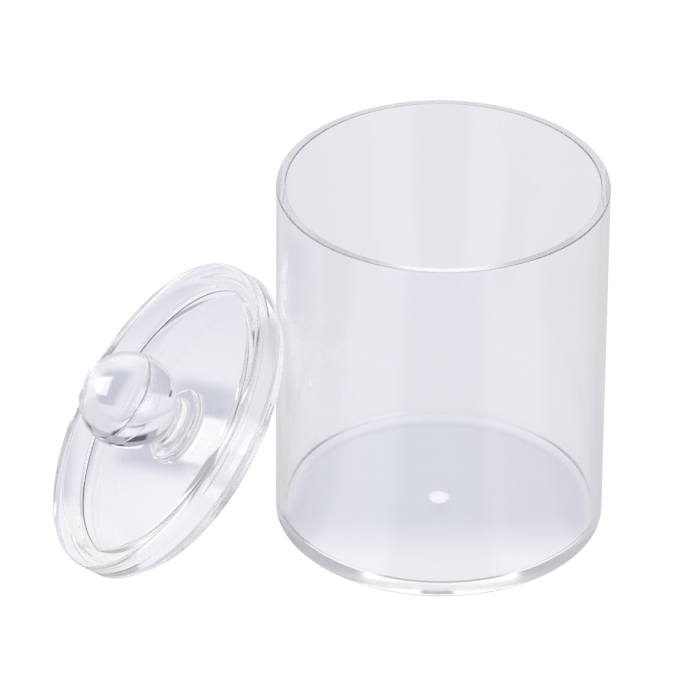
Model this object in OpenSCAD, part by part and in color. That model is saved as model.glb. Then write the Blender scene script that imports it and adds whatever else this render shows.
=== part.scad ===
// Clear round jar for cotton swabs, with a dish-shaped lid that has a ball knob
// The lid is off: it stands on the floor and leans against the jar's side, knob outwards
// The origin is the centre of the jar's base, +Z is up, and the lid leans along +X

/* [Jar] */
// Outer diameter of the jar
jar_d = 80; // [70:0.5:100]
// Height of the jar
jar_h = 92.4; // [88:0.1:140]
// Thickness of the jar's wall
jar_wall = 2.2; // [1.5:0.1:3.5]
// Thickness of the jar's floor
jar_floor = 3; // [2:0.1:5]
// Radius of the fillet between the wall's inside and the floor
floor_fillet = 1.5; // [0.5:0.1:4]
// Radius on the bottom outer edge of the jar
foot_round = 1.2; // [0.4:0.1:1.8]
// Radius on both edges of the jar's rim
rim_round = 0.4; // [0.2:0.05:0.7]
// Diameter of the moulding mark in the middle of the floor
gate_mark_d = 5; // [3:0.5:8]
// Height of the moulding mark
gate_mark_h = 0.6; // [0.3:0.1:1.2]

/* [Lid] */
// How far the lid's rim reaches past the jar's outer wall
lid_overhang = 0.6; // [0:0.1:3]
// Height of the lid's outer side, above the jar's rim
lid_side_h = 6.9; // [5:0.1:10]
// Depth of the recess, from the top of the lid's rim to the panel
recess_depth = 8.4; // [7.2:0.1:12]
// Thickness of the lid's panel
panel_t = 2.2; // [1.5:0.1:4]
// Wall between the recess and the side of the plug that enters the jar
plug_wall = 1.9; // [1.2:0.1:3.5]
// Clearance on the radius between the plug and the jar's wall
plug_clearance = 0.4; // [0.1:0.05:1]
// Width of the small ledge that runs round inside the recess
ledge_w = 0.4; // [0.2:0.1:1]
// Depth of that ledge below the top of the lid's rim
ledge_depth = 3.7; // [2:0.1:5]
// Radius on the outer top edge of the lid
lid_round = 1.2; // [0.5:0.1:2]
// Radius on the small edges of the lid
lid_edge = 0.3; // [0.1:0.05:0.5]

/* [Knob] */
// Diameter of the ball
ball_d = 23.8; // [16:0.2:30]
// Gap between the lid's panel and the underside of the ball
ball_gap = 4.2; // [3:0.1:8]
// Diameter of the round base that is bonded to the panel
knob_base_d = 19.2; // [14:0.2:26]
// Thickness of the round base
knob_base_h = 2.4; // [1.5:0.1:2.8]
// Radius on the upper edge of the round base
knob_base_round = 1.1; // [0.4:0.1:1.4]
// Diameter of the neck between the round base and the ball
neck_d = 12.6; // [8:0.2:13.2]

/* [Lean] */
// Angle between the leaning lid and the floor
lean_angle = 53; // [48:0.5:60]
// Hairline between the lid and the jar's wall where the lid leans on it
lean_gap = 0.2; // [0.1:0.05:1]

/* [Hidden] */
$fn = 120;

clear_plastic = [0.86, 0.88, 0.92, 0.45];
slack = 0.02;

jar_r = jar_d / 2;
bore_r = jar_r - jar_wall;

// The lid's own frame: its axis is Z, and the underside of its rim, which sits on the jar, is at 0
lid_r = jar_r + lid_overhang;
plug_r = bore_r - plug_clearance;
recess_r = plug_r - plug_wall;
panel_top = lid_side_h - recess_depth;
plug_bottom = panel_top - panel_t;

ball_r = ball_d / 2;
ball_z = ball_gap + ball_r;

// The leaning lid stands on the lower of two edges, and its upper edge that reaches furthest meets the wall
lean_height = max(lid_r * sin(lean_angle), plug_r * sin(lean_angle) - plug_bottom * cos(lean_angle));
lean_reach = max(lid_r * cos(lean_angle), plug_r * cos(lean_angle) - plug_bottom * sin(lean_angle));
lean_x = jar_r + lean_gap + lean_reach;

// What a rounding of radius r takes off a section's corner: side tells which way the corner points
module corner_cut(x, z, r, side) {
    translate([x - side.x * r, z - side.y * r])
        difference() {
            translate([side.x > 0 ? 0 : -r - slack, side.y > 0 ? 0 : -r - slack]) square(r + slack);
            circle(r);
        }
}

module jar_inside() {
    difference() {
        translate([0, jar_floor]) square([bore_r, jar_h]);
        corner_cut(bore_r, jar_floor, floor_fillet, [1, -1]);
    }
}

module jar_section() {
    difference() {
        square([jar_r, jar_h]);
        jar_inside();
        corner_cut(jar_r, 0, foot_round, [1, -1]);
        corner_cut(jar_r, jar_h, rim_round, [1, 1]);
        corner_cut(bore_r, jar_h, rim_round, [-1, 1]);
    }
    square([gate_mark_d / 2, jar_floor + gate_mark_h]);
}

module jar() {
    color(clear_plastic) rotate_extrude() jar_section();
}

module lid_section() {
    difference() {
        union() {
            square([lid_r, lid_side_h]);
            translate([0, plug_bottom]) square([plug_r, slack - plug_bottom]);
        }
        translate([0, panel_top]) square([recess_r, recess_depth + slack]);
        translate([0, lid_side_h - ledge_depth]) square([recess_r + ledge_w, ledge_depth + slack]);
        corner_cut(lid_r, lid_side_h, lid_round, [1, 1]);
        corner_cut(lid_r, 0, lid_edge, [1, -1]);
        corner_cut(plug_r, plug_bottom, lid_edge, [1, -1]);
        corner_cut(recess_r + ledge_w, lid_side_h, lid_edge, [-1, 1]);
    }
}

// Puts what is drawn in the lid's own frame where the leaning lid is
module leaned() {
    translate([-lean_x, 0, lean_height]) rotate([0, -lean_angle, 0]) children();
}

module lid() {
    color(clear_plastic) leaned() rotate_extrude() lid_section();
}

module knob_section() {
    difference() {
        square([knob_base_d / 2, knob_base_h]);
        corner_cut(knob_base_d / 2, knob_base_h, knob_base_round, [1, 1]);
    }
    square([neck_d / 2, ball_z]);
    translate([0, ball_z])
        intersection() {
            circle(ball_r);
            translate([0, -ball_r]) square([ball_r, ball_d]);
        }
}

module knob() {
    color(clear_plastic) leaned() translate([0, 0, panel_top]) rotate_extrude() knob_section();
}

jar();
lid();
knob();
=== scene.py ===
import math

import bpy
from mathutils import Euler, Matrix, Vector


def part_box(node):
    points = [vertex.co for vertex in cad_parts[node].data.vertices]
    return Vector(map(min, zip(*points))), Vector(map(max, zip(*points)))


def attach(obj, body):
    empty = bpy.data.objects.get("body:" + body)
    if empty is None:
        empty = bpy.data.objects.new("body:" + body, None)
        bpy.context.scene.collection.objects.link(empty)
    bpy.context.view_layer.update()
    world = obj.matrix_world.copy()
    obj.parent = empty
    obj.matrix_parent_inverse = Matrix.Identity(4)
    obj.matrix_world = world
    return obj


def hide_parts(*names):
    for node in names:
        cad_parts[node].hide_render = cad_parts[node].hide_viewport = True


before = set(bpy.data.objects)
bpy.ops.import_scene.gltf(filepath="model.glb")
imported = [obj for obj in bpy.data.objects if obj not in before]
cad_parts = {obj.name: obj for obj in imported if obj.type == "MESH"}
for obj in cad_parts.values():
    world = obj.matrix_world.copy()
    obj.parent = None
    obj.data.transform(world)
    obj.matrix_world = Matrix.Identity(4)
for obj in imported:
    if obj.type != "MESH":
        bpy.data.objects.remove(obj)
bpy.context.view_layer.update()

print("frame loaded, nodes:", ", ".join(sorted(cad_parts)))

# Everything is in metres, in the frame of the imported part: the jar's base is centred on the origin
jarLow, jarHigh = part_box("jar")
jarRadius = (jarHigh.y - jarLow.y) / 2
jarHeight = jarHigh.z
roundSides = 384  # sides of every round piece
nearly = 0.00002  # how close a corner has to be to a place to be picked there


# Picking and shaping in edit mode

def editOnly(piece):
    if bpy.context.object and bpy.context.object.mode != "OBJECT":
        bpy.ops.object.mode_set(mode="OBJECT")
    bpy.ops.object.select_all(action="DESELECT")
    piece.select_set(True)
    bpy.context.view_layer.objects.active = piece


def clearPick(piece):
    editOnly(piece)
    bpy.ops.object.mode_set(mode="EDIT")
    bpy.ops.mesh.select_all(action="DESELECT")
    bpy.ops.object.mode_set(mode="OBJECT")


def pickFaces(piece, test):
    bpy.ops.object.mode_set(mode="EDIT")
    bpy.ops.mesh.select_mode(type="FACE")
    clearPick(piece)
    for face in piece.data.polygons:
        face.select = test(face.center, face.normal)
    bpy.ops.object.mode_set(mode="EDIT")


def ringAt(radius, height):
    return lambda spot: abs(math.hypot(spot.x, spot.y) - radius) < nearly and abs(spot.z - height) < nearly


def pickEdges(piece, test):
    bpy.ops.object.mode_set(mode="EDIT")
    bpy.ops.mesh.select_mode(type="EDGE")
    clearPick(piece)
    corners = piece.data.vertices
    for edge in piece.data.edges:
        edge.select = all(test(corners[i].co) for i in edge.vertices)
    bpy.ops.object.mode_set(mode="EDIT")


def pickCorners(piece, test):
    bpy.ops.object.mode_set(mode="EDIT")
    bpy.ops.mesh.select_mode(type="VERT")
    clearPick(piece)
    for corner in piece.data.vertices:
        corner.select = test(corner.co)
    bpy.ops.object.mode_set(mode="EDIT")


def capAt(height, facing):
    return lambda centre, normal: abs(centre.z - height) < nearly and normal.z * facing > 0.9


def insetTo(fromRadius, toRadius):
    # an inset runs along the sides' middles, a little inside the corners
    bpy.ops.mesh.inset(thickness=(fromRadius - toRadius) * math.cos(math.pi / roundSides), depth=0)


def extrudeBy(move):
    bpy.ops.mesh.extrude_region_move(TRANSFORM_OT_translate={"value": move})


def roundRing(piece, radius, height, width, steps):
    pickEdges(piece, ringAt(radius, height))
    bpy.ops.mesh.bevel(offset=width, offset_type="OFFSET", segments=steps, profile=0.5, affect="EDGES")


def finishMesh(piece):
    # flat stretches keep their own normals, so what is seen through them isn't bent at the edges
    bpy.ops.object.mode_set(mode="OBJECT")
    editOnly(piece)
    bpy.ops.object.shade_smooth()
    bpy.ops.object.modifier_add(type="WEIGHTED_NORMAL")
    bpy.ops.object.modifier_apply(modifier=piece.modifiers[-1].name)


def startPiece(name):
    piece = bpy.context.object
    piece.name = name
    piece.data.name = name
    bpy.ops.object.transform_apply(location=True, rotation=True, scale=True)
    return piece


# Shader maths as expressions

class Sock:
    def __init__(self, tree, socket):
        self.tree = tree
        self.socket = socket

    def math(self, operation, *others):
        return node(self.tree, "ShaderNodeMath", {"operation": operation}, [self, *others])

    def __add__(self, other):
        return self.math("ADD", other)

    def __sub__(self, other):
        return self.math("SUBTRACT", other)

    def __mul__(self, other):
        return self.math("MULTIPLY", other)

    def __rsub__(self, other):
        return node(self.tree, "ShaderNodeMath", {"operation": "SUBTRACT"}, [other, self])

    __radd__ = __add__
    __rmul__ = __mul__


def rampUp(value, low, high):
    # 0 below low, 1 above high, and smooth between
    return node(value.tree, "ShaderNodeMapRange", {"interpolation_type": "SMOOTHSTEP"},
                {"Value": value, "From Min": low, "From Max": high})


def between(value, low, high, soft):
    return rampUp(value, low - soft, low + soft) * (1 - rampUp(value, high - soft, high + soft))


def splitUp(vector):
    made = vector.tree.nodes.new("ShaderNodeSeparateXYZ")
    vector.tree.links.new(vector.socket, made.inputs[0])
    return [Sock(vector.tree, made.outputs[axis]) for axis in range(3)]


def node(tree, kind, settings=None, inputs=None, out=0):
    made = tree.nodes.new(kind)
    for key, value in (settings or {}).items():
        setattr(made, key, value)
    pairs = inputs.items() if isinstance(inputs, dict) else enumerate(inputs or [])
    for key, value in pairs:
        if isinstance(value, Sock):
            tree.links.new(value.socket, made.inputs[key])
        else:
            made.inputs[key].default_value = value
    return Sock(tree, made.outputs[out]) if made.outputs else None


def newMaterial(name):
    material = bpy.data.materials.new(name)
    material.use_nodes = True
    material.node_tree.nodes.clear()
    return material, material.node_tree


def showSurface(tree, shader):
    node(tree, "ShaderNodeOutputMaterial", None, {"Surface": shader})


clearLook = {
    "tint": (0.985, 0.988, 0.996, 1),
    "ior": 1.49,
    "shadowTint": (0.93, 0.94, 0.96, 1),
    "polish": 0.05,  # roughness of the clean surface
    "smudge": 0.022,  # what faint marks from handling add to it
    "smudgeScale": 38,
    "waveScale": 42,  # the mould's long, low waves
    "waveHeight": 0.00003,
}
knobLook = {**clearLook, "waveScale": 120, "waveHeight": 0.0002}
gateLook = {
    "tint": (0.985, 0.988, 0.996, 1),
    "rough": 0.35,
    "white": (0.97, 0.972, 0.98, 1),
    "whiteShare": 0.94,
    "grainScale": 2600,
    "grainHeight": 0.00002,
}


def clearPlastic(name, look):
    material, tree = newMaterial(name)
    place = node(tree, "ShaderNodeTexCoord", out="Object")
    tall = node(tree, "ShaderNodeMapping", {"vector_type": "POINT"}, {"Vector": place, "Scale": (1, 1, 0.4)})
    waves = node(tree, "ShaderNodeTexNoise", None, {"Vector": tall, "Scale": look["waveScale"], "Detail": 1.5})
    marks = node(tree, "ShaderNodeTexNoise", None, {"Vector": place, "Scale": look["smudgeScale"], "Detail": 6})
    relief = node(tree, "ShaderNodeBump", None, {"Height": waves, "Distance": look["waveHeight"], "Strength": 1.0})
    glass = node(tree, "ShaderNodeBsdfPrincipled", None, {
        "Base Color": look["tint"], "IOR": look["ior"], "Transmission Weight": 1.0, "Normal": relief,
        "Roughness": look["polish"] + rampUp(marks, 0.5, 0.8) * look["smudge"],
    })
    toLamps = node(tree, "ShaderNodeLightPath", out="Is Shadow Ray")
    open_ = node(tree, "ShaderNodeBsdfTransparent", None, {"Color": look["shadowTint"]})
    showSurface(tree, node(tree, "ShaderNodeMixShader", None, {0: toLamps, 1: glass, 2: open_}))
    return material


def frostedMark(look):
    # the mark left by the mould's gate is rough, so it catches the light
    material, tree = newMaterial("gateFrost")
    place = node(tree, "ShaderNodeTexCoord", out="Object")
    grain = node(tree, "ShaderNodeTexNoise", None, {"Vector": place, "Scale": look["grainScale"], "Detail": 3})
    relief = node(tree, "ShaderNodeBump", None, {"Height": grain, "Distance": look["grainHeight"], "Strength": 1.0})
    glass = node(tree, "ShaderNodeBsdfPrincipled", None, {
        "Base Color": look["tint"], "Roughness": look["rough"], "Transmission Weight": 1.0, "Normal": relief,
    })
    frost = node(tree, "ShaderNodeBsdfDiffuse", None, {"Color": look["white"], "Normal": relief})
    showSurface(tree, node(tree, "ShaderNodeMixShader", None, {0: look["whiteShare"], 1: glass, 2: frost}))
    return material


def bondedSeam():
    # where the knob is bonded to the panel the two are one to the light, so the seam between them doesn't show
    material, tree = newMaterial("bondedSeam")
    showSurface(tree, node(tree, "ShaderNodeBsdfTransparent", None, {"Color": (1, 1, 1, 1)}))
    return material


# The jar, moulded in one piece

jar = {
    "wall": 0.0022,
    "floor": 0.003,
    "floorFillet": 0.0015,
    "footRound": 0.0012,
    "rimRound": 0.0004,
    "gateRadius": 0.0025,
    "gateHeight": 0.0006,
    "gateRound": 0.0005,
}


def makeJar():
    boreRadius = jarRadius - jar["wall"]
    bpy.ops.object.select_all(action="DESELECT")
    bpy.ops.mesh.primitive_cylinder_add(vertices=roundSides, radius=jarRadius, depth=jarHeight,
                                        location=(0, 0, jarHeight / 2), end_fill_type="NGON")
    piece = startPiece("clearJar")
    pickFaces(piece, capAt(jarHeight, 1))
    insetTo(jarRadius, boreRadius)
    extrudeBy((0, 0, jar["floor"] - jarHeight))
    insetTo(boreRadius, jar["gateRadius"])
    extrudeBy((0, 0, jar["gateHeight"]))
    roundRing(piece, jar["gateRadius"], jar["floor"] + jar["gateHeight"], jar["gateRound"], 6)
    roundRing(piece, boreRadius, jar["floor"], jar["floorFillet"], 12)
    roundRing(piece, jarRadius, 0, jar["footRound"], 12)
    roundRing(piece, jarRadius, jarHeight, jar["rimRound"], 6)
    roundRing(piece, boreRadius, jarHeight, jar["rimRound"], 6)
    finishMesh(piece)
    return piece


# The lid and its knob, in their own frame: the axis is Z and the rim's underside is at 0

lid = {
    "overhang": 0.0006,
    "sideHeight": 0.0069,
    "recessDepth": 0.0084,
    "panel": 0.0022,
    "plugWall": 0.0019,
    "plugClearance": 0.0004,
    "ledgeWidth": 0.0004,
    "ledgeDepth": 0.0037,
    "topRound": 0.0012,
    "edgeRound": 0.0003,
    "recessFillet": 0.0001,
}
knob = {
    "ballRadius": 0.0119,
    "ballGap": 0.0042,
    "baseRadius": 0.0096,
    "baseHeight": 0.0024,
    "baseRound": 0.0011,
    "neckRadius": 0.0063,
    "baseFillet": 0.0006,
    "ballFillet": 0.0008,
    "profileSteps": 160,
}
lean = {"angle": math.radians(53), "gap": 0.0002}

lidRadius = jarRadius + lid["overhang"]
plugRadius = jarRadius - jar["wall"] - lid["plugClearance"]
recessRadius = plugRadius - lid["plugWall"]
panelTop = lid["sideHeight"] - lid["recessDepth"]
plugBottom = panelTop - lid["panel"]


def leanPlace():
    sine, cosine = math.sin(lean["angle"]), math.cos(lean["angle"])
    height = max(lidRadius * sine, plugRadius * sine - plugBottom * cosine)
    reach = max(lidRadius * cosine, plugRadius * cosine - plugBottom * sine)
    turn = Euler((0, -lean["angle"], 0)).to_matrix().to_4x4()
    return Matrix.Translation((-(jarRadius + lean["gap"] + reach), 0, height)) @ turn


def leanPiece(piece):
    bpy.ops.object.mode_set(mode="OBJECT")
    editOnly(piece)
    piece.matrix_world = leanPlace()
    bpy.ops.object.transform_apply(location=True, rotation=True, scale=True)


def makeLid():
    ledgeRadius = recessRadius + lid["ledgeWidth"]
    bpy.ops.object.select_all(action="DESELECT")
    bpy.ops.mesh.primitive_cylinder_add(vertices=roundSides, radius=lidRadius, depth=lid["sideHeight"],
                                        location=(0, 0, lid["sideHeight"] / 2), end_fill_type="NGON")
    piece = startPiece("clearLid")
    pickFaces(piece, capAt(lid["sideHeight"], 1))
    insetTo(lidRadius, ledgeRadius)
    extrudeBy((0, 0, -lid["ledgeDepth"]))
    insetTo(ledgeRadius, recessRadius)
    extrudeBy((0, 0, lid["ledgeDepth"] - lid["recessDepth"]))
    insetTo(recessRadius, knob["baseRadius"])
    pickFaces(piece, capAt(0, -1))
    insetTo(lidRadius, plugRadius)
    extrudeBy((0, 0, plugBottom))
    roundRing(piece, lidRadius, lid["sideHeight"], lid["topRound"], 10)
    roundRing(piece, lidRadius, 0, lid["edgeRound"], 6)
    roundRing(piece, ledgeRadius, lid["sideHeight"], lid["edgeRound"], 6)
    roundRing(piece, plugRadius, plugBottom, lid["edgeRound"], 6)
    roundRing(piece, recessRadius, panelTop, lid["recessFillet"], 6)
    finishMesh(piece)
    leanPiece(piece)
    return piece


def makeKnob():
    ballHeight = knob["ballGap"] + knob["ballRadius"]
    joinHeight = ballHeight - math.sqrt(knob["ballRadius"] ** 2 - knob["neckRadius"] ** 2)
    bpy.ops.object.select_all(action="DESELECT")
    bpy.ops.mesh.primitive_circle_add(vertices=knob["profileSteps"], radius=knob["ballRadius"],
                                      location=(0, 0, ballHeight), rotation=(math.pi / 2, 0, 0))
    piece = startPiece("clearKnob")
    pickCorners(piece, lambda spot: spot.x < -nearly or (spot.x < knob["neckRadius"] and spot.z < ballHeight))
    bpy.ops.mesh.delete(type="VERT")
    bpy.ops.object.mode_set(mode="OBJECT")
    lowest = min((corner.co.copy() for corner in piece.data.vertices), key=lambda spot: spot.z)
    pickCorners(piece, lambda spot: (spot - lowest).length < nearly)
    extrudeBy((knob["neckRadius"] - lowest.x, 0, joinHeight - lowest.z))
    extrudeBy((0, 0, knob["baseHeight"] - joinHeight))
    extrudeBy((knob["baseRadius"] - knob["neckRadius"], 0, 0))
    extrudeBy((0, 0, -knob["baseHeight"]))
    extrudeBy((-knob["baseRadius"], 0, 0))
    bpy.ops.mesh.select_all(action="SELECT")
    bpy.ops.mesh.spin(steps=roundSides, angle=2 * math.pi, center=(0, 0, 0), axis=(0, 0, 1))
    bpy.ops.mesh.select_all(action="SELECT")
    bpy.ops.mesh.remove_doubles(threshold=0.000001)
    bpy.ops.mesh.normals_make_consistent(inside=False)
    roundRing(piece, knob["baseRadius"], knob["baseHeight"], knob["baseRound"], 10)
    roundRing(piece, knob["neckRadius"], knob["baseHeight"], knob["baseFillet"], 6)
    roundRing(piece, knob["neckRadius"], joinHeight, knob["ballFillet"], 6)
    finishMesh(piece)
    bpy.ops.object.mode_set(mode="OBJECT")
    editOnly(piece)
    bpy.ops.transform.translate(value=(0, 0, panelTop))
    bpy.ops.object.transform_apply(location=True, rotation=True, scale=True)
    leanPiece(piece)
    return piece


def markSeam(piece, seam):
    # the faces inside the knob's footprint on the panel's plane take the seam's material
    piece.data.materials.append(seam)
    place = leanPlace()
    back = place.inverted()
    for face in piece.data.polygons:
        centre = back @ face.center
        onPanel = abs(centre.z - panelTop) < nearly and abs((back.to_3x3() @ face.normal).z) > 0.99
        if onPanel and math.hypot(centre.x, centre.y) < knob["baseRadius"] - nearly:
            face.material_index = len(piece.data.materials) - 1


def markGate(piece, frost):
    piece.data.materials.append(frost)
    for face in piece.data.polygons:
        onMark = math.hypot(face.center.x, face.center.y) < jar["gateRadius"] - nearly
        if onMark and face.center.z > jar["floor"] + jar["gateHeight"] - jar["gateRound"]:
            face.material_index = len(piece.data.materials) - 1


def dress(piece, nodeName, material):
    piece.data.materials.clear()
    piece.data.materials.append(material)
    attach(piece, "root")
    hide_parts(nodeName)
    print("made", piece.name, "with", len(piece.data.polygons), "faces")


jarPiece = makeJar()
lidPiece = makeLid()
knobPiece = makeKnob()
dress(jarPiece, "jar", clearPlastic("clearJarPlastic", clearLook))
dress(lidPiece, "lid", clearPlastic("clearLidPlastic", clearLook))
dress(knobPiece, "knob", clearPlastic("clearKnobPlastic", knobLook))
seam = bondedSeam()
markSeam(lidPiece, seam)
markSeam(knobPiece, seam)
markGate(jarPiece, frostedMark(gateLook))


# Floor, surroundings and light

studio = {
    "turn": math.radians(-12.5),  # the studio is set up round the camera's direction
    "floorSize": 6.0,
    "floorDrop": 0.00015,  # the film of air under the object
    "floorColor": (0.93, 0.93, 0.93, 1),
    "floorWhite": 0.95,  # how much of the floor is plain white to the camera, and the rest takes the shadow
    # the pale floor as it shows through the plastic, behind the jar and behind the lid, with painted shade where the
    # jar's own shade falls and painted shade patches farther off
    "behind": (0.81, 0.82, 0.86, 1),
    "behindLid": (0.85, 0.86, 0.90, 1),
    "farLid": (0.72, 0.72, 0.80, 1),
    "farPaintedShade": (0.42, 0.43, 0.50, 1),
    "besideLid": (0.62, 0.62, 0.70, 1),
    "gapPaintedShade": (0.16, 0.16, 0.20, 1),
    "front": (0.92, 0.92, 0.945, 1),
    "ballShade": (0.58, 0.59, 0.69, 1),
    "under": (0.648, 0.659, 0.728, 1),
    "underRight": (0.588, 0.593, 0.66, 1),
    "underFront": (0.835, 0.838, 0.858, 1),
    # what reflections show of the floor, far, near, and along the inside of the walls
    "mirror": (0.70, 0.70, 0.72, 1),
    "mirrorNear": (0.88, 0.88, 0.91, 1),
    "mirrorDark": (0.49, 0.49, 0.505, 1),
    "mirrorLight": (0.97, 0.97, 0.99, 1),
    "mirrorDeep": (0.74, 0.74, 0.76, 1),
    "mirrorDeepSide": (0.58, 0.58, 0.595, 1),
    "mirrorDeepFront": (0.95, 0.95, 0.97, 1),
    "mirrorDeepLid": (0.97, 0.97, 0.99, 1),
    # each band and patch faces the object from so many degrees clockwise from straight behind it, and is so
    # many degrees wide to each side, and a patch has its lower and upper edge in degrees up
    "darkBands": ((177, 27), (-109.5, 11.5)),
    "lightBands": ((135, 20), (-138.5, 17.5)),
    "deepBands": ((84, 34, "mirrorDeepSide"), (-84, 34, "mirrorDeepSide"), (180, 46, "mirrorDeepFront")),
    "sky": (0.60, 0.60, 0.62, 1),
    "skyLow": (0.85, 0.85, 0.88, 1),
    "skyTop": (0.80, 0.80, 0.82, 1),
    "skyBack": (1.35, 1.35, 1.37, 1),
    "skySide": (0.50, 0.50, 0.52, 1),
    "skyFront": (0.20, 0.20, 0.22, 1),
    "skyGrey": (0.46, 0.46, 0.52, 1),
    "skyGap": (0.04, 0.04, 0.07, 1),
    "skyLine": (2.0, 2.0, 2.02, 1),
    "softBox": (3.0, 3.0, 3.05, 1),
    "brightBox": (7.0, 7.0, 7.1, 1),
    "patches": (  # the last values are what a patch's rays are counted by, and the most that it shows to
        (-62, 40, -1, 14, "skyLow", "Glossy Depth", 99),
        (0, 24, 16, 60, "skyBack", "Glossy Depth", 99),
        (45, 21, 16, 50, "skySide", "Glossy Depth", 99),
        (-45, 21, 16, 50, "skySide", "Glossy Depth", 99),
        (180, 36, 16, 54, "skyFront", "Glossy Depth", 99),
        (2, 34, 0, 30, "skyGrey", "Glossy Depth", 0),
        (-9, 11, 3, 14, "skyGap", "Glossy Depth", 0),
        (14, 10, 20, 29, "skyGap", "Glossy Depth", 0),
        (46, 6, 4, 15, "skyGap", "Glossy Depth", 1),
        (136, 22, 1, 21, "softBox", "Glossy Depth", 2),
        (-76, 13, 16, 52, "skyLine", "Glossy Depth", 1),
        (-94, 8, 1, 22, "brightBox", "Ray Depth", 1),
        (-86, 12, 18, 46, "brightBox", "Ray Depth", 1),
        (-62, 22, 40, 60, "brightBox", "Ray Depth", 1),
    ),
    # under the lid, the shadow that the ball casts and the light that it gathers in it: how far right and away
    # from the camera the middle is, the half length along the light, the half width, and the soft edge
    "lightTurn": math.radians(21),
    "ballShadow": (-0.0625, 0.034, 0.021, 0.0095, 0.004),
    "ballLight": (-0.0585, 0.0285, 0.0105, 0.006, 0.0012),
    "lampGlow": 3.0,
}


def turnedFrom(x, y):
    # degrees clockwise from straight behind the object, and how far right and away from the camera the place is
    cosine, sine = math.cos(studio["turn"]), math.sin(studio["turn"])
    across = x * cosine + y * sine
    away = y * cosine - x * sine
    return across.math("ARCTAN2", away) * (180 / math.pi), across, away


def facingFrom(turned, middle, half, soft):
    # 1 within half of the middle direction, in degrees and the shorter way round
    apart = node(turned.tree, "ShaderNodeMath", {"operation": "WRAP"}, [turned - middle, 180.0, -180.0])
    return 1 - rampUp(apart.math("ABSOLUTE"), half - soft, half + soft)


def softSpot(across, away, right, back, halfLength, halfWidth, soft):
    # a soft-edged oblong on the floor, drawn out along the light
    cosine, sine = math.cos(studio["lightTurn"]), math.sin(studio["lightTurn"])
    along = (away - back) * cosine + (across - right) * sine
    beside = (across - right) * cosine - (away - back) * sine
    inLength = 1 - rampUp(along.math("ABSOLUTE"), halfLength - soft, halfLength + soft)
    return inLength * (1 - rampUp(beside.math("ABSOLUTE"), halfWidth - soft, halfWidth + soft))


def glow(tree, color):
    return node(tree, "ShaderNodeEmission", None, {"Color": color, "Strength": 1.0})


def blendOf(tree, share, first, second):
    return node(tree, "ShaderNodeMixShader", None, {0: share, 1: first, 2: second})


def makeFloor():
    bpy.ops.object.select_all(action="DESELECT")
    bpy.ops.mesh.primitive_plane_add(size=studio["floorSize"], location=(0, 0, -studio["floorDrop"]))
    floor = startPiece("paleFloor")
    material, tree = newMaterial("paleFloor")
    rays = {name: node(tree, "ShaderNodeLightPath", out=name)
            for name in ("Is Camera Ray", "Is Diffuse Ray", "Glossy Depth")}
    x, y, _ = splitUp(node(tree, "ShaderNodeTexCoord", out="Object"))
    turned, across, away = turnedFrom(x, y)
    radius = (x * x + y * y).math("SQRT")
    mirrored = glow(tree, studio["mirror"])
    for bands, soft, color in (("darkBands", 3, "mirrorDark"), ("lightBands", 5, "mirrorLight")):
        for middle, half in studio[bands]:
            mirrored = blendOf(tree, facingFrom(turned, middle, half, soft), mirrored, glow(tree, studio[color]))
    nearMirror = 1 - rampUp(radius, jarRadius * 0.4, jarRadius * 1.05)
    mirrored = blendOf(tree, nearMirror, mirrored, glow(tree, studio["mirrorNear"]))
    byLid = rampUp(across * -1, 0.040, 0.055)
    guided = glow(tree, studio["mirrorDeep"])
    for middle, half, color in studio["deepBands"]:
        guided = blendOf(tree, facingFrom(turned, middle, half, 14), guided, glow(tree, studio[color]))
    guided = blendOf(tree, rampUp(across * -1, 0.048, 0.06), guided, glow(tree, studio["mirrorDeepLid"]))
    mirrored = blendOf(tree, rays["Glossy Depth"].math("GREATER_THAN", 1.5), mirrored, guided)
    # painted shade of the jar on the floor under it, shown only through the plastic
    toFront = rampUp(away * -1, 0.004, 0.028)
    toRight = rampUp(across, 0.006, 0.026)
    shade = blendOf(tree, toRight, glow(tree, studio["under"]), glow(tree, studio["underRight"]))
    shade = blendOf(tree, toFront, shade, glow(tree, studio["underFront"]))
    inShade = 1 - rampUp(radius, 0.035, 0.039)
    farLid = rampUp(away, 0.06, 0.11) * (1 - rampUp(away, 0.116, 0.13))
    underLid = blendOf(tree, farLid, glow(tree, studio["behindLid"]), glow(tree, studio["farLid"]))
    underLid = blendOf(tree, softSpot(across, away, *studio["ballShadow"]), underLid, glow(tree, studio["ballShade"]))
    underLid = blendOf(tree, softSpot(across, away, *studio["ballLight"]), underLid, glow(tree, (1, 1, 1, 1)))
    behind = blendOf(tree, byLid, glow(tree, studio["behind"]), underLid)
    # painted shade: a dark patch on the far floor, shown only through the plastic
    farPaintedShade = between(across, -0.135, -0.080, 0.010) * between(away, 0.140, 0.182, 0.010)
    behind = blendOf(tree, farPaintedShade, behind, glow(tree, studio["farPaintedShade"]))
    behind = blendOf(tree, byLid * rampUp(away * -1, -0.02, 0.0), behind, glow(tree, studio["front"]))
    beside = between(across, -0.127, -0.092, 0.004) * between(away, -0.002, 0.036, 0.004)
    behind = blendOf(tree, beside, behind, glow(tree, studio["besideLid"]))
    # painted shade: a dark patch left of the lid, shown only through the plastic
    gap = between(across, -0.140, -0.129, 0.002) * between(away, 0.022, 0.038, 0.002)
    behind = blendOf(tree, gap, behind, glow(tree, studio["gapPaintedShade"]))
    through = blendOf(tree, inShade, behind, shade)
    beyond = blendOf(tree, rays["Glossy Depth"].math("GREATER_THAN", 0.5), through, mirrored)
    matte = node(tree, "ShaderNodeBsdfDiffuse", None, {"Color": studio["floorColor"]})
    plain = blendOf(tree, studio["floorWhite"], matte, glow(tree, (1, 1, 1, 1)))
    seen = blendOf(tree, rays["Is Camera Ray"], beyond, plain)
    showSurface(tree, blendOf(tree, rays["Is Diffuse Ray"], seen, matte))
    floor.data.materials.append(material)


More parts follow.
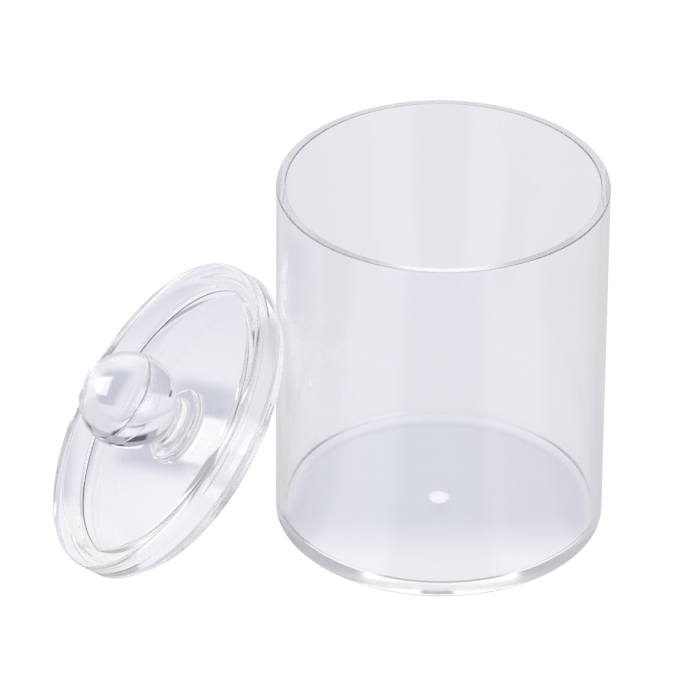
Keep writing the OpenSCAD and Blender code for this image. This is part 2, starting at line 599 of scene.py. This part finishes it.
def makeWorld():
    world = bpy.data.worlds.new("studio")
    bpy.context.scene.world = world
    world.use_nodes = True
    tree = world.node_tree
    tree.nodes.clear()
    x, y, z = splitUp(node(tree, "ShaderNodeTexCoord", out="Generated"))
    turned, _, _ = turnedFrom(x, y)
    height = z.math("ARCSINE") * (180 / math.pi)

    def sky(color):
        return node(tree, "ShaderNodeBackground", None, {"Color": studio[color], "Strength": 1.0})

    around = blendOf(tree, rampUp(height, 50, 75), sky("sky"), sky("skyTop"))
    for middle, half, bottom, top, color, counted, deepest in studio["patches"]:
        patch = facingFrom(turned, middle, half, 3) * between(height, bottom, top, 2)
        patch = patch * node(tree, "ShaderNodeLightPath", out=counted).math("LESS_THAN", deepest + 0.5)
        around = blendOf(tree, patch, around, sky(color))
    around = blendOf(tree, rampUp(height * -1, -2, 1), around, sky("behind"))
    seen = node(tree, "ShaderNodeLightPath", out="Is Camera Ray")
    white = node(tree, "ShaderNodeBackground", None, {"Color": (1, 1, 1, 1), "Strength": 1.0})
    shown = blendOf(tree, seen, around, white)
    node(tree, "ShaderNodeOutputWorld", None, {"Surface": shown})


def addLamp(name, turned, height, distance, size, share=1.0):
    # a soft box that faces the object, placed by degrees clockwise from behind it and degrees up
    bpy.ops.object.select_all(action="DESELECT")
    turn = math.radians(turned) - studio["turn"]
    up = math.radians(height)
    place = Vector((math.sin(turn) * math.cos(up), math.cos(turn) * math.cos(up), math.sin(up))) * distance
    bpy.ops.object.light_add(type="AREA", location=place)
    lamp = bpy.context.object
    lamp.name = name
    lamp.data.shape = "RECTANGLE"
    lamp.data.size, lamp.data.size_y = size
    lamp.data.energy = studio["lampGlow"] * share * math.pi * size[0] * size[1]
    lamp.visible_glossy = lamp.visible_transmission = False  # the world's soft boxes are what the plastic shows
    lamp.rotation_euler = (Vector((0, 0, 0.04)) - place).to_track_quat("-Z", "Y").to_euler()
    return lamp


makeFloor()
makeWorld()
addLamp("softRight", 136, 25, 1.0, (0.66, 0.8))
addLamp("softLeft", 250, 25, 1.0, (1.1, 0.8))
addLamp("softTop", 0, 86, 1.2, (0.8, 0.8), 0.6)
bounces = bpy.context.scene.cycles
bounces.max_bounces = bounces.transmission_bounces = bounces.glossy_bounces = 56  # light runs along inside the walls

# The camera, at the photograph's angle: a long lens from far off

camera = {
    "pitch": math.radians(32.38),
    "azimuth": math.radians(-12.5),
    "roll": math.radians(0.37),
    "distance": 1.777,
    "aimRight": -0.0245,
    "aimUp": 0.0407,
    "pixelsPerMetre": 4067.2,
    "pictureWidth": 680,
    "sensor": 36,
}


def makeCamera():
    up, turn = camera["pitch"], camera["azimuth"]
    right = Vector((math.cos(turn), math.sin(turn), 0))
    back = Vector((math.sin(turn) * math.cos(up), -math.cos(turn) * math.cos(up), math.sin(up)))
    top = back.cross(right)
    aim = right * camera["aimRight"] + top * camera["aimUp"]
    rollCos, rollSin = math.cos(camera["roll"]), math.sin(camera["roll"])
    x = right * rollCos + top * rollSin
    y = top * rollCos - right * rollSin
    bpy.ops.object.select_all(action="DESELECT")
    bpy.ops.object.camera_add(location=aim + back * camera["distance"])
    eye = bpy.context.object
    eye.name = "camera"
    eye.rotation_euler = Matrix((x, y, back)).transposed().to_euler()
    eye.data.sensor_width = camera["sensor"]
    eye.data.lens = camera["pixelsPerMetre"] * camera["distance"] / camera["pictureWidth"] * camera["sensor"]
    eye.data.clip_start, eye.data.clip_end = 0.05, 50
    bpy.context.scene.camera = eye


makeCamera()
bpy.context.scene.view_settings.view_transform = "Standard"
